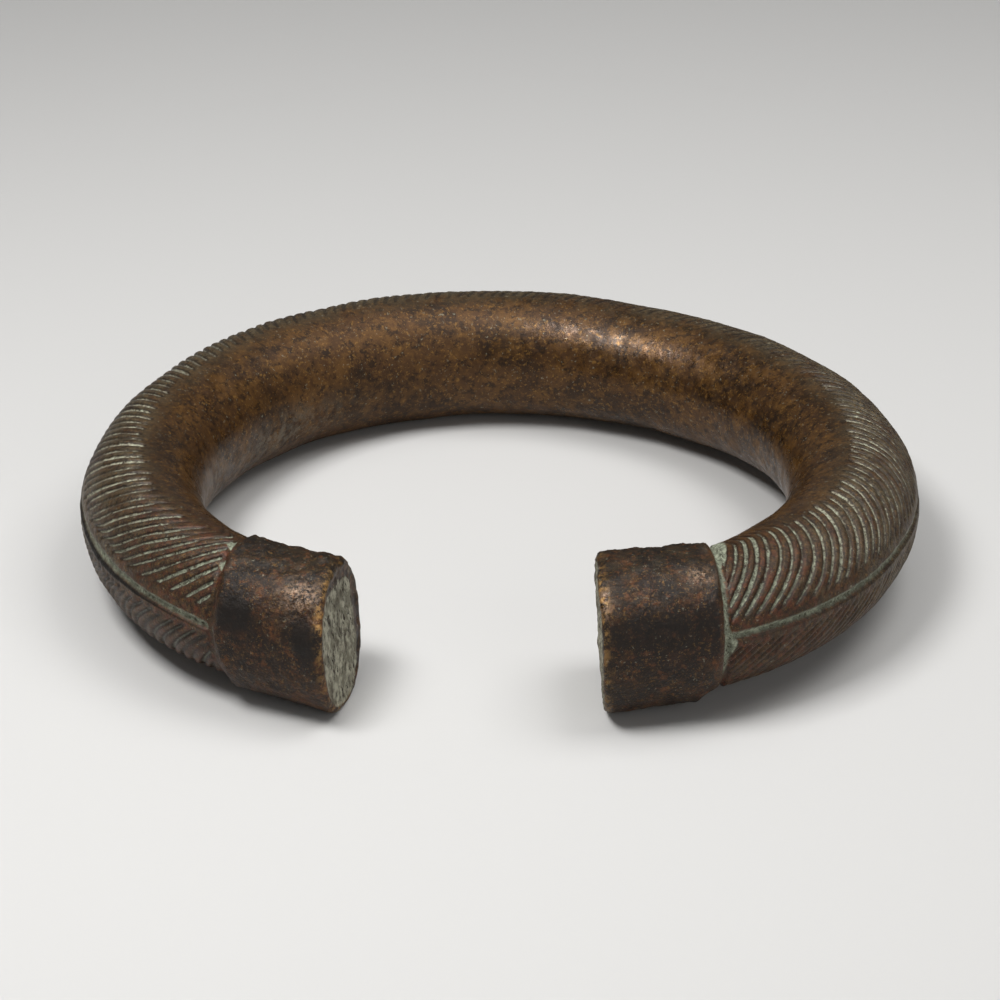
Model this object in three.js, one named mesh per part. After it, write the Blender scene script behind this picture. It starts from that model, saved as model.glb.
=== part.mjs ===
// Currency bracelet: one bronze casting, an open ring of thick bar with a plain collar and a flat end face
// at each terminal. The outer side of the bar is engraved with slanting lines above and below a groove
// that runs round its middle, and the inner side is plain.
//
// The ring is laid out lying on its middle plane, with the gap towards -Y. Angles round the ring turn
// anticlockwise from +X. An angle round the bar is 0 on the outer side, 90 on top and 180 on the inner side.
// The bar is followed from the left terminal over the back to the right terminal. At the end the whole
// casting is set down on its three lowest places, which are worn flat. Sizes are in millimetres.
import * as THREE from 'three'

// Ring
const ringRadius = 41
const leftJoin = 225.7
const rightJoin = -53.6

// Bar, at the back, at both sides and at the necks beside the collars
const backHeight = 17.1
const backWidth = 15
const leftSideHeight = 17.5
const leftSideWidth = 15.2
const rightSideHeight = 15.8
const rightSideWidth = 16
const leftNeckHeight = 16.4
const leftNeckWidth = 14
const rightNeckHeight = 16.1
const rightNeckWidth = 15.6

// Collars. Yaw is where the axis points towards the gap and dip is how far it points down. Tilt and skew turn
// the end face away from square, drop sets the collar's middle below the bar's, and flare widens it towards
// the face. The step up from the neck is steep on top and slopes more on the underside.
const leftCollar = {
  length: 12.6, height: 16.9, width: 15.1, flare: 0.2, yaw: -19.8, dip: 4.1, tilt: -4.4, skew: 7, drop: 0.59,
  step: 0.6, underStep: 1.8
}
const rightCollar = {
  length: 12.8, height: 17.5, width: 15.8, flare: 0.3, yaw: 186.7, dip: 3.8, tilt: 3, skew: 5.4, drop: 0.41,
  step: 0.6, underStep: 3.4
}
const collarSquareness = 2.33
const rimRadius = 1
const neckGrooveWidth = 0.8
const neckGrooveDepth = 0.5
const neckBlend = 10

// Engraving. Lean is how far a line runs along the bar over its length, near the left end, over most of the
// ring and near the right end. A sweep above 0 lets the lean grow downwards, and one below 0 lets it fade.
// Beside the left collar the middle groove droops.
const middleGrooveAngle = 10.5
const middleGrooveWidth = 1.1
const middleGrooveDepth = 0.45
const grooveDroop = { angle: 6, reach: 5, fade: 40 }
const upperLines = {
  from: 97, to: 19, pitch: 1.5, width: 0.66, depth: 0.36,
  leanLeft: 11, lean: 7, leanRight: 5.3, sweepLeft: 0.05, sweep: 0.54
}
const lowerLines = {
  from: 3, to: -80, pitch: 1.25, depth: 0.26,
  leanLeft: 5.5, lean: 6.2, leanRight: 7, sweepLeft: -1, sweep: -1
}
const leanReachLeft = 22
const leanReachRight = 14
const lineShake = 0.12
const depthShake = 0.3
// Beside the left collar the tops of the lines are worn almost away
const wornTop = { reach: 14, angle: 74, fade: 10, left: 0.25 }

// Lengths of the slight swells that the casting left along the bar
const longSwell = 41
const middleSwell = 23
const shortSwell = 13

// Wear where the casting lies on the ground
const wearDepth = 0.2

// Where the rows of the faceting run, as angles round the bar or as shares of the lines' length
const groundRows = [-97, -91, -85]
const lowerRows = [0.78, 0.47, 0.16]
const upperRows = [0.86, 0.64, 0.4, 0.16]
const innerRows = 9
const plainStep = 3.4
const collarRings = [0, 0.07, 0.2, 0.45, 0.7, 0.87]
const rimTurns = [0, 35, 65, 90]
const collarSides = 36
const ringSamples = 900

const radians = Math.PI / 180
const deg = (angle) => angle * radians
const mix = (a, b, share) => a + (b - a) * share
const clamp = (value, low, high) => Math.min(high, Math.max(low, value))
const smooth = (value) => {
  const t = clamp(value, 0, 1)
  return t * t * (3 - 2 * t)
}
// A repeatable number from -1 to 1 for the engraver's uneven hand
const shake = (index, kind) => {
  const n = Math.sin(index * 12.9898 + kind * 78.233) * 43758.5453
  return 2 * (n - Math.floor(n)) - 1
}

// The centre line: a circle that swells in a few gentle waves, given as shares of its radius
const ringWaves = [
  { count: 2, along: 0.056, across: 0.006 },
  { count: 3, along: 0.003, across: -0.015 },
  { count: 4, along: -0.003, across: 0.005 }
]
function ringPoint(angle) {
  let radius = ringRadius
  for (const wave of ringWaves) {
    const turn = wave.count * angle
    radius += ringRadius * (wave.along * Math.cos(turn) + wave.across * Math.sin(turn))
  }
  return new THREE.Vector2(radius * Math.cos(angle), radius * Math.sin(angle))
}

const centreLine = []
for (let i = 0; i <= ringSamples; i += 1) {
  const angle = deg(mix(leftJoin, rightJoin, i / ringSamples))
  const before = ringPoint(angle + 1e-4)
  const after = ringPoint(angle - 1e-4)
  centreLine.push({ at: ringPoint(angle), along: after.sub(before).normalize(), run: 0 })
}
for (let i = 1; i <= ringSamples; i += 1) {
  centreLine[i].run = centreLine[i - 1].run + centreLine[i].at.distanceTo(centreLine[i - 1].at)
}
const barLength = centreLine[ringSamples].run

// The way of travel through each collar
const leftWay = new THREE.Vector2(-Math.cos(deg(leftCollar.yaw)), -Math.sin(deg(leftCollar.yaw)))
const rightWay = new THREE.Vector2(Math.cos(deg(rightCollar.yaw)), Math.sin(deg(rightCollar.yaw)))

// Place and directions at a distance s along the bar; near the collars the bar straightens into them
function station(s) {
  let low = 0
  let high = ringSamples
  while (high - low > 1) {
    const middle = (low + high) >> 1
    if (centreLine[middle].run <= s) low = middle
    else high = middle
  }
  const a = centreLine[low]
  const b = centreLine[high]
  const share = (s - a.run) / (b.run - a.run)
  const at = a.at.clone().lerp(b.at, share)
  const along = a.along.clone().lerp(b.along, share)
  const nearLeft = clamp(1 - s / neckBlend, 0, 1)
  const nearRight = clamp(1 - (barLength - s) / neckBlend, 0, 1)
  along.multiplyScalar(1 - nearLeft - nearRight)
  along.addScaledVector(leftWay, nearLeft).addScaledVector(rightWay, nearRight).normalize()
  return { at, along, out: new THREE.Vector2(-along.y, along.x) }
}

// A size of the bar at s, on a smooth curve through its values at the neck, the side and the back
function barSize(s, back, leftSide, rightSide, leftNeck, rightNeck) {
  const turn = 2 * s / barLength - 1
  const q = Math.abs(turn)
  const side = turn < 0 ? leftSide : rightSide
  const neck = turn < 0 ? leftNeck : rightNeck
  return back * (1 - q) * (1 - 2 * q) + 4 * side * q * (1 - q) + neck * q * (2 * q - 1)
}
const barHalfHeight = (s) =>
  barSize(s, backHeight, leftSideHeight, rightSideHeight, leftNeckHeight, rightNeckHeight) / 2
const barHalfWidth = (s) =>
  barSize(s, backWidth, leftSideWidth, rightSideWidth, leftNeckWidth, rightNeckWidth) / 2

// Slight unevenness left by the casting and by wear
const swells = [
  { length: longSwell, turns: 1, height: 0.1, start: 1.3 },
  { length: middleSwell, turns: 2, height: 0.07, start: 0.4 },
  { length: shortSwell, turns: 1, height: 0.05, start: 2.6 }
]
function unevenness(s, angle) {
  let height = 0
  for (const swell of swells) {
    height += swell.height * Math.sin(2 * Math.PI * s / swell.length + swell.start) *
      Math.cos(swell.turns * angle + swell.start)
  }
  return height
}

// A point of the bar's surface, sunk below it by a depth
function barPoint(s, angleDegrees, sink) {
  const angle = deg(angleDegrees)
  const place = station(s)
  const halfWidth = barHalfWidth(s)
  const halfHeight = barHalfHeight(s)
  const facing = new THREE.Vector2(Math.cos(angle) / halfWidth, Math.sin(angle) / halfHeight).normalize()
  const lift = unevenness(s, angle) - sink
  const out = halfWidth * Math.cos(angle) + facing.x * lift
  const up = halfHeight * Math.sin(angle) + facing.y * lift
  return new THREE.Vector3(place.at.x + place.out.x * out, place.at.y + place.out.y * out, up)
}

const points = []
const triangles = []
function addPoint(point) {
  points.push(point)
  return points.length - 1
}

// The engraved part of the bar lies between the grooves at the necks
const barStart = neckGrooveWidth
const barEnd = barLength - neckGrooveWidth
function droopedAngle(s, angle) {
  const near = smooth(1 - Math.abs(angle - middleGrooveAngle) / grooveDroop.fade)
  return angle - grooveDroop.angle * near * Math.exp(-(s - barStart) / grooveDroop.reach)
}

// A row of points along the bar at one angle. Each column has its place s and its order in the pattern.
function addRow(rowAngle, columns) {
  return columns.map(({ s, sink = 0, order = s }) => {
    const angle = droopedAngle(s, rowAngle)
    return { id: addPoint(barPoint(s, angle, sink)), s, order, angle }
  })
}
function plainRow(angle, sink) {
  const count = Math.round((barEnd - barStart) / plainStep)
  const columns = []
  for (let i = 0; i <= count; i += 1) {
    const end = i === 0 || i === count
    columns.push({ s: mix(barStart, barEnd, i / count), sink: end ? 0 : sink })
  }
  return addRow(angle, columns)
}

// How far a line that starts at s has run along the bar at an angle
function leanAt(lines, s, angle) {
  const share = clamp((lines.from - angle) / (lines.from - lines.to), 0, 1)
  const nearLeft = 1 - smooth(s / leanReachLeft)
  const nearRight = 1 - smooth((barLength - s) / leanReachRight)
  const lean = mix(mix(lines.lean, lines.leanLeft, nearLeft), lines.leanRight, nearRight)
  const sweep = mix(lines.sweep, lines.sweepLeft, nearLeft)
  return lean * ((1 - sweep) * share + sweep * share * share)
}
function wornShare(s, angle) {
  const near = 1 - smooth((s - wornTop.reach / 2) / wornTop.reach)
  const high = smooth((angle - wornTop.angle + wornTop.fade) / (2 * wornTop.fade))
  return mix(1, wornTop.left, near * high)
}

// A row across the engraved lines. profile lists each line's points across it, as { across, share of depth }.
function lineRow(lines, angle, profile) {
  const longest = Math.max(lines.leanLeft, lines.lean, lines.leanRight)
  const count = Math.ceil((barLength + longest) / lines.pitch)
  const startLean = leanAt(lines, 0, angle)
  const endLean = leanAt(lines, barLength, angle)
  const columns = [{ s: barStart, order: barStart - startLean }]
  const margin = lines.pitch / 4
  for (let k = 0; k < count; k += 1) {
    const order = (k + 0.5) * lines.pitch - longest + lineShake * shake(k, 1)
    const depth = lines.depth * (1 + depthShake * shake(k, 2))
    for (const part of profile) {
      const s = order + part.across + leanAt(lines, clamp(order, 0, barLength), angle)
      if (s > barStart + margin && s < barEnd - margin) {
        columns.push({ s, order: order + part.across, sink: depth * part.depth * wornShare(s, angle) })
      }
    }
  }
  columns.push({ s: barEnd, order: barEnd - endLean })
  return addRow(angle, columns)
}

// Joins two neighbouring rows, the first at the lower angle, taking their points in turn by a key
function stitch(lower, upper, key) {
  let i = 0
  let j = 0
  while (i < lower.length - 1 || j < upper.length - 1) {
    const canLower = i < lower.length - 1
    const canUpper = j < upper.length - 1
    if (canLower && (!canUpper || lower[i + 1][key] <= upper[j + 1][key])) {
      triangles.push([lower[i].id, upper[j].id, lower[i + 1].id])
      i += 1
    } else {
      triangles.push([lower[i].id, upper[j].id, upper[j + 1].id])
      j += 1
    }
  }
}

// The rows round the bar, from the underside up the outer side and down the inner side
const rimOfLine = [{ across: 0, depth: 0 }]
const cutLine = [
  { across: -upperLines.width / 2, depth: 0 },
  { across: 0, depth: 1 },
  { across: upperLines.width / 2, depth: 0 }
]
const waveLine = [{ across: 0, depth: 1 }, { across: lowerLines.pitch / 2, depth: 0 }]
const grooveHalfAngle = middleGrooveWidth / backWidth / radians

const rows = []
const joins = []
function nextRow(row, key) {
  rows.push(row)
  if (rows.length > 1) joins.push(key)
}
for (const angle of groundRows) nextRow(plainRow(angle, 0), 's')
nextRow(lineRow(lowerLines, lowerLines.to, rimOfLine), 's')
for (const share of lowerRows) {
  nextRow(lineRow(lowerLines, mix(lowerLines.from, lowerLines.to, share), waveLine), 'order')
}
nextRow(lineRow(lowerLines, lowerLines.from, rimOfLine), 'order')
nextRow(plainRow(middleGrooveAngle - grooveHalfAngle, 0), 's')
nextRow(plainRow(middleGrooveAngle, middleGrooveDepth), 's')
nextRow(plainRow(middleGrooveAngle + grooveHalfAngle, 0), 's')
nextRow(lineRow(upperLines, upperLines.to, rimOfLine), 's')
for (const share of upperRows) {
  nextRow(lineRow(upperLines, mix(upperLines.from, upperLines.to, share), cutLine), 'order')
}
nextRow(lineRow(upperLines, upperLines.from, rimOfLine), 'order')
for (let i = 1; i <= innerRows; i += 1) {
  nextRow(plainRow(mix(upperLines.from, groundRows[0] + 360, i / (innerRows + 1)), 0), 's')
}
for (let i = 0; i < joins.length; i += 1) stitch(rows[i], rows[i + 1], joins[i])
stitch(rows[rows.length - 1], rows[0], 's')

// Joins two loops round the bar, the first nearer to the left terminal, taking their points by angle
function stitchLoops(near, far) {
  let i = 0
  let j = 0
  const angleOf = (loop, n) => loop[n % loop.length].angle + (n >= loop.length ? 360 : 0)
  while (i < near.length || j < far.length) {
    const a = near[i % near.length].id
    const b = far[j % far.length].id
    if (i < near.length && (j >= far.length || angleOf(near, i + 1) <= angleOf(far, j + 1))) {
      triangles.push([a, near[(i + 1) % near.length].id, b])
      i += 1
    } else {
      triangles.push([a, far[(j + 1) % far.length].id, b])
      j += 1
    }
  }
}

// A collar: neck groove, sloping step, plain side, rounded rim and flat end face
const lumps = [
  { side: 'right', at: 3, angle: 80, height: 0.3, spread: 1.6 },
  { side: 'right', at: 7, angle: 96, height: 0.28, spread: 1.5 },
  { side: 'right', at: 10.4, angle: 84, height: 0.24, spread: 1.4 },
  { side: 'right', at: 6, angle: -20, height: -0.2, spread: 3 },
  { side: 'left', at: 2.2, angle: 100, height: 0.3, spread: 1.6 },
  { side: 'left', at: 8, angle: 30, height: -0.2, spread: 3 },
  { side: 'left', at: 6, angle: 80, height: -0.15, spread: 2.4 }
]
function collarPoint(collar, side, fromNeck, angleDegrees, inset) {
  const s = side === 'left' ? 0 : barLength
  const place = station(s)
  const gapward = side === 'left' ? -1 : 1
  const angle = deg(angleDegrees)
  const bulge = (value) => Math.sign(value) * Math.abs(value) ** (2 / collarSquareness)
  const round = new THREE.Vector2(Math.cos(angle), Math.sin(angle))
  let lift = -inset
  for (const lump of lumps) {
    if (lump.side !== side) continue
    const around = ((angleDegrees - lump.angle + 540) % 360 - 180) * radians * collar.width / 2
    const away = Math.hypot(fromNeck - lump.at, around) / lump.spread
    lift += lump.height * Math.exp(-away * away)
  }
  const k = fromNeck / collar.length
  const widening = collar.flare * k
  const out = (collar.width / 2 + widening) * bulge(round.x) + lift * round.x
  const up = (collar.height / 2 + widening) * bulge(round.y) + lift * round.y
  const underside = (1 - round.y) / 2
  const rampLength = mix(collar.step, collar.underStep, underside * underside)
  const risen = smooth(fromNeck / rampLength)
  const neckOut = barHalfWidth(s) * round.x
  const neckUp = barHalfHeight(s) * round.y
  const along = fromNeck + k * (Math.tan(deg(collar.tilt)) * up + Math.tan(deg(collar.skew)) * out)
  const fall = collar.drop + fromNeck * Math.tan(deg(collar.dip))
  const sideways = mix(neckOut, out, risen)
  return new THREE.Vector3(
    place.at.x + place.out.x * sideways + place.along.x * gapward * along,
    place.at.y + place.out.y * sideways + place.along.y * gapward * along,
    mix(neckUp, up, risen) - fall * risen
  )
}
function collarLoop(collar, side, fromNeck, inset) {
  const loop = []
  for (let i = 0; i < collarSides; i += 1) {
    const angle = rows[0][0].angle + 360 * i / collarSides
    loop.push({ id: addPoint(collarPoint(collar, side, fromNeck, angle, inset)), angle })
  }
  return loop
}
function neckLoop(side) {
  const s = side === 'left' ? neckGrooveWidth / 2 : barLength - neckGrooveWidth / 2
  const loop = []
  for (let i = 0; i < collarSides; i += 1) {
    const angle = rows[0][0].angle + 360 * i / collarSides
    loop.push({ id: addPoint(barPoint(s, angle, neckGrooveDepth)), angle })
  }
  return loop
}
function addCollar(collar, side) {
  const endOfBar = rows.map((row) => (side === 'left' ? row[0] : row[row.length - 1]))
  const loops = [endOfBar, neckLoop(side)]
  const rimStart = collar.length - rimRadius
  for (const share of collarRings) {
    loops.push(collarLoop(collar, side, rimStart * share, 0))
  }
  for (const turn of rimTurns) {
    const inset = rimRadius * (1 - Math.cos(deg(turn)))
    loops.push(collarLoop(collar, side, rimStart + rimRadius * Math.sin(deg(turn)), inset))
  }
  const rim = loops[loops.length - 1]
  const centre = new THREE.Vector3()
  for (const corner of rim) centre.add(points[corner.id])
  const middle = addPoint(centre.divideScalar(rim.length))
  for (let i = 0; i < loops.length - 1; i += 1) {
    if (side === 'left') stitchLoops(loops[i + 1], loops[i])
    else stitchLoops(loops[i], loops[i + 1])
  }
  for (let i = 0; i < rim.length; i += 1) {
    const a = rim[i].id
    const b = rim[(i + 1) % rim.length].id
    triangles.push(side === 'left' ? [middle, b, a] : [middle, a, b])
  }
  return loops.flat()
}
const leftIds = addCollar(leftCollar, 'left').map((corner) => corner.id)
const rightIds = addCollar(rightCollar, 'right').map((corner) => corner.id)

// Setting down: the plane under the lowest places of the two collars and the back
function lowestOf(ids) {
  let best = ids[0]
  for (const id of ids) if (points[id].z < points[best].z) best = id
  return points[best].clone()
}
const underside = rows[1]
const back = underside.filter((corner) => Math.abs(corner.s / barLength - 0.5) < 0.1)
const restBack = lowestOf(back.map((corner) => corner.id))
const restLeft = lowestOf(leftIds)
const restRight = lowestOf(rightIds)
const upward = new THREE.Vector3().crossVectors(
  restBack.clone().sub(restRight), restLeft.clone().sub(restRight)).normalize()
const settle = new THREE.Quaternion().setFromUnitVectors(upward, new THREE.Vector3(0, 0, 1))
const ground = restRight.clone().applyQuaternion(settle).z + wearDepth
for (const point of points) {
  point.applyQuaternion(settle)
  point.z = Math.max(point.z - ground, 0)
}

// The origin is under the middle of the bracelet
const box = new THREE.Box3().setFromPoints(points)
const shift = new THREE.Vector3(-(box.min.x + box.max.x) / 2, -(box.min.y + box.max.y) / 2, 0)
for (const point of points) point.add(shift)

const geometry = new THREE.BufferGeometry().setFromPoints(points)
geometry.setIndex(triangles.flat())
geometry.computeVertexNormals()
const bronze = new THREE.MeshStandardMaterial({ color: 0x5c4028, roughness: 0.5, metalness: 0.85 })
const bracelet = new THREE.Mesh(geometry, bronze)
bracelet.name = 'bracelet'

const part = new THREE.Group()
part.add(bracelet)
export default part
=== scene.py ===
# %% [markdown]
# # A currency bracelet in cast bronze
# The bracelet is an open ring of thick bronze bar. It ends in two plain collars with flat faces, and its
# outer side is engraved with slanting lines above and below a groove that runs round the middle. We model
# it as its maker would have made the wax: a straight bar is engraved first, collars are put on its ends,
# and only then is it carried round into a ring. Straight work is easy to measure, and the carrying round
# uses the same sizes as the solid part, so the two agree. Its box is kept, because the finished piece
# stays inside it.

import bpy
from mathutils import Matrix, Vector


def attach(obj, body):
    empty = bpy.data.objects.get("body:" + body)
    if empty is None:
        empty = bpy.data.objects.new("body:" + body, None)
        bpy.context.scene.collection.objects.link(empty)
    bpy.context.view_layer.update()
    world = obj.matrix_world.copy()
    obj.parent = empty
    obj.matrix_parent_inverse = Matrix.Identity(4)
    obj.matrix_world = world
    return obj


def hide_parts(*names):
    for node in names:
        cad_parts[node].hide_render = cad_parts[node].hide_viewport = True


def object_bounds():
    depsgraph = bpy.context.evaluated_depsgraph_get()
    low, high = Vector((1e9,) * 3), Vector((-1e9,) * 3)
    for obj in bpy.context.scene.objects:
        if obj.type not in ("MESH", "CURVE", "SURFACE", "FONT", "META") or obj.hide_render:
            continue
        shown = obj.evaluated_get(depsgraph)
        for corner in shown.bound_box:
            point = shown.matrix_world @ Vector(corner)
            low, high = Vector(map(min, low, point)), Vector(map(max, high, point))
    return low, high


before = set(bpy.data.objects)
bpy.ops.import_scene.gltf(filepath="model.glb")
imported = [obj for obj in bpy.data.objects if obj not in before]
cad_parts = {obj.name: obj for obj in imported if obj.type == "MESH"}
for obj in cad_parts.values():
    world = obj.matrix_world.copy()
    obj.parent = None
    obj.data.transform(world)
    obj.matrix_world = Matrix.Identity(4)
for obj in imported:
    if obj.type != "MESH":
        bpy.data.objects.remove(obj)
cad_low, cad_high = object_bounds()
print("nodes in the frame:", sorted(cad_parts))
print("box of the solid, mm:", [round((b - a) * 1000, 2) for a, b in zip(cad_low, cad_high)])

# %% [markdown]
# Besides math, which comes with Python, three modules are used: bpy for Blender itself, numpy for
# the places of many points at once, and mathutils for turns and directions. Every random choice below comes
# from one repeatable formula, so the file gives the same bracelet each time it runs. Sizes are in metres,
# and MM turns a size in millimetres into them.

# %% Tools for numbers
import math

import bpy
import numpy as np
from mathutils import Matrix, Quaternion, Vector

MM = 0.001


def mix(a, b, share):
    """A number between a and b: a at share 0 and b at share 1."""
    return a + (b - a) * share


def smooth(value):
    """0 below 0, 1 above 1, and a soft step between."""
    t = np.clip(value, 0, 1)
    return t * t * (3 - 2 * t)


def shake(index, kind):
    """A repeatable number from -1 to 1 for the engraver's uneven hand."""
    n = np.sin(index * 12.9898 + kind * 78.233) * 43758.5453
    return 2 * (n - np.floor(n)) - 1


print("first shakes:", [round(float(shake(i, 1)), 2) for i in range(4)])

# %% [markdown]
# Blender's operators act on whatever is selected, and the frame's nodes are selected after loading. So each
# step first deselects everything and then selects its own object, and inside the object its own points,
# edges or faces by where they lie. These helpers do that.

# %% Tools for selecting
def take(piece):
    """Selects one object alone and makes it the active one."""
    bpy.ops.object.select_all(action="DESELECT")
    piece.select_set(True)
    bpy.context.view_layer.objects.active = piece


def places(piece):
    """The places of a piece's points as a table with one row for each."""
    flat = np.empty(len(piece.data.vertices) * 3)
    piece.data.vertices.foreach_get("co", flat)
    return flat.reshape(-1, 3)


def put(piece, table):
    piece.data.vertices.foreach_set("co", table.ravel())
    piece.data.update()


def pick(piece, kind, wanted):
    """Enters edit mode with the wanted edges or faces selected and nothing else."""
    take(piece)
    mesh = piece.data
    for part in (mesh.vertices, mesh.edges, mesh.polygons):
        part.foreach_set("select", np.zeros(len(part), bool))
    chosen = mesh.edges if kind == "EDGE" else mesh.polygons
    chosen.foreach_set("select", wanted)
    bpy.ops.object.mode_set(mode="EDIT")
    bpy.ops.mesh.select_mode(type=kind)


def leave():
    bpy.ops.object.mode_set(mode="OBJECT")


def edge_ends(piece):
    """The two point numbers of each edge."""
    ends = np.empty(len(piece.data.edges) * 2, int)
    piece.data.edges.foreach_get("vertices", ends)
    return ends.reshape(-1, 2)


print("helpers: take, places, put, pick, leave, edge_ends")

# %% [markdown]
# Two more helpers write a number on every point of a piece. A vertex group is a painted weight, which tells
# a Displace modifier where to work. A mark is an attribute that the material reads later.

# %% Tools for weights and marks
def weigh(piece, name, weights):
    """Paints a vertex group wherever there is more than a trace of weight."""
    group = piece.vertex_groups.new(name=name)
    for i in np.flatnonzero(weights > 0.01):
        group.add([int(i)], float(min(weights[i], 1)), "REPLACE")


def mark(piece, name, values):
    layer = piece.data.attributes.new(name, "FLOAT", "POINT")
    layer.data.foreach_set("value", np.asarray(values, np.float32))
    print(f"mark {name}: {np.min(values):.2f} to {np.max(values):.2f}")


print("helpers: weigh, mark")

# %% [markdown]
# ## The ring's sizes
# The bar's centre line is a circle that swells in a few gentle waves, because the real ring was bent by
# eye. It is followed from the left terminal over the back to the right one. The bar is thicker at some
# places than at others, so its height and width are given at the back, at both sides and at the necks by
# the collars.

# %% Sizes of the ring and the bar, in millimetres and degrees
ring_radius = 41
left_join, right_join = 225.7, -53.6
ring_waves = [(2, 0.056, 0.006), (3, 0.003, -0.015), (4, -0.003, 0.005)]
bar_height = {"back": 17.1, "left": 17.5, "right": 15.8, "left neck": 16.4, "right neck": 16.1}
bar_width = {"back": 15, "left": 15.2, "right": 16, "left neck": 14, "right neck": 15.6}
straight_radius = 8


def ring_point(angle):
    """Points of the centre line, seen from above, at angles round the ring."""
    swell = sum(a * np.cos(n * angle) + b * np.sin(n * angle) for n, a, b in ring_waves)
    return ring_radius * (1 + swell)[:, None] * np.stack([np.cos(angle), np.sin(angle)], 1)


ring_angles = np.radians(np.linspace(left_join, right_join, 901))
ring_line = ring_point(ring_angles)
ring_ways = ring_point(ring_angles - 1e-4) - ring_point(ring_angles + 1e-4)
ring_ways /= np.linalg.norm(ring_ways, axis=1)[:, None]
ring_run = np.concatenate([[0], np.cumsum(np.linalg.norm(np.diff(ring_line, axis=0), axis=1))])
bar_length = ring_run[-1]
print("length of the bar between the collars, mm:", round(bar_length, 2))

# %% [markdown]
# Each collar is a short length of thicker bar with its own axis. Yaw is where that axis points, dip is how
# far it points down, tilt and skew turn the end face away from square, and drop sets the collar below the
# bar. The step up from the neck is steep on top and slopes more on the underside. A narrow groove runs
# round each neck, and the left one is shallower. Low lumps and dents stand where the photo's outline has
# them. Each is given by its collar, its distance from the neck, its angle round the bar, its height and its
# spread.

# %% Sizes of the collars, in millimetres and degrees
left_collar = dict(side="left", way=-1, begin=0.0, length=12.6, height=16.9, width=15.1, flare=0.2, yaw=-19.8,
                   dip=4.1, tilt=-4.4, skew=7, drop=0.59, step=0.6, under_step=1.8, lead=0.1, groove=0.4)
right_collar = dict(side="right", way=1, begin=bar_length, length=12.8, height=17.5, width=15.8, flare=0.3,
                    yaw=186.7, dip=3.8, tilt=3, skew=5.4, drop=0.41, step=0.6, under_step=3.4, lead=0.35,
                    groove=1)
both_collars = (left_collar, right_collar)
collar_squareness = 2.33
rim_radius = 1
neck_groove_width, neck_groove_depth = 0.8, 0.5
groove_steps = ((0.2, 0.65), (0.5, 1), (0.8, 0.7))
neck_blend = 10
lumps = [("right", 3, 80, 0.3, 1.6), ("right", 7, 96, 0.28, 1.5), ("right", 10.4, 84, 0.24, 1.4),
         ("right", 6, -20, -0.2, 3), ("right", 12.6, 86, -0.5, 2.2), ("right", 0.8, 88, -0.25, 1.3),
         ("left", 2.2, 100, 0.3, 1.6), ("left", 8, 30, -0.2, 3), ("left", 0.7, 112, 0.4, 0.7),
         ("left", 5, 104, 0.28, 0.7), ("left", 8.4, 100, 0.25, 0.7), ("left", 10.3, 98, 0.22, 0.6),
         ("left", 6, 80, -0.15, 2.4)]


def into(collar, s):
    """How far into a collar a place along the bar lies. On the bar it is below 0."""
    return (s - collar["begin"]) * collar["way"]


for collar in both_collars:
    print(collar["side"], "collar, mm:", collar["length"], "x", collar["width"], "x", collar["height"])

# %% [markdown]
# ## The straight bar
# A circle is the start. Its 61 points become the rows along the bar, so they stand close together where the
# engraving needs them: across the middle groove and where the lines end. The angle is 0 on the outer side,
# 90 on top and 180 on the inner side. Other ways would be a cylinder with even rows, which wastes points on
# the plain inner side, or a curve with a bevel, which can't carry uneven rows.

# %% Rows round the bar
first_row = -97
inner_row = 102


def span(start, stop, count):
    """Even steps from start up to the one before stop."""
    return [mix(start, stop, i / count) for i in range(count)]


row_angles = (span(first_row, -82, 2) + span(-82, -74, 3) + span(-74, -4, 10) + span(-4, 4, 3)
              + [5.2, 6.6, 7.8, 9.3, 11.7, 13.2, 14.4, 15.8]
              + span(17, 26, 4) + span(26, 88, 10) + span(88, inner_row, 5)
              + span(inner_row, first_row + 360, 16))
bpy.ops.object.select_all(action="DESELECT")
bpy.ops.mesh.primitive_circle_add(vertices=len(row_angles), radius=straight_radius * MM, location=(0, 0, 0))
casting = bpy.context.object
casting.name = "bracelet_casting"
turn = np.radians(row_angles)
put(casting, np.stack([0 * turn, np.cos(turn), np.sin(turn)], 1) * straight_radius * MM)
print("rows round the bar:", len(row_angles))

# %% [markdown]
# The circle is extruded by the width of one engraved line and cut into nine columns. An Array repeats that
# strip for every line. This is quicker than extruding more than a thousand times, and gives the same bar.
# For now one line takes one unit along X, and the real spacing is given to it in the next step.

# %% One line's strip, then all of them
columns_per_line = 9
columns_per_lower_line = 7
line_count = 152
unit = 1.5 * MM
pick(casting, "EDGE", np.ones(len(casting.data.edges), bool))
bpy.ops.mesh.extrude_region_move(TRANSFORM_OT_translate={"value": (unit, 0, 0)})
leave()
ends = edge_ends(casting)
at = places(casting)
long_edges = np.abs(at[ends[:, 0], 0] - at[ends[:, 1], 0]) > unit / 2
pick(casting, "EDGE", long_edges)
bpy.ops.mesh.subdivide(number_cuts=columns_per_line - 1)
leave()
repeat = casting.modifiers.new("lines", "ARRAY")
repeat.count = line_count
repeat.use_relative_offset = False
repeat.use_constant_offset = True
repeat.constant_offset_displace = (unit, 0, 0)
repeat.use_merge_vertices = True
repeat.merge_threshold = 0.01 * MM
bpy.ops.object.modifier_apply(modifier=repeat.name)
print("points in the straight bar:", len(casting.data.vertices))

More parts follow.
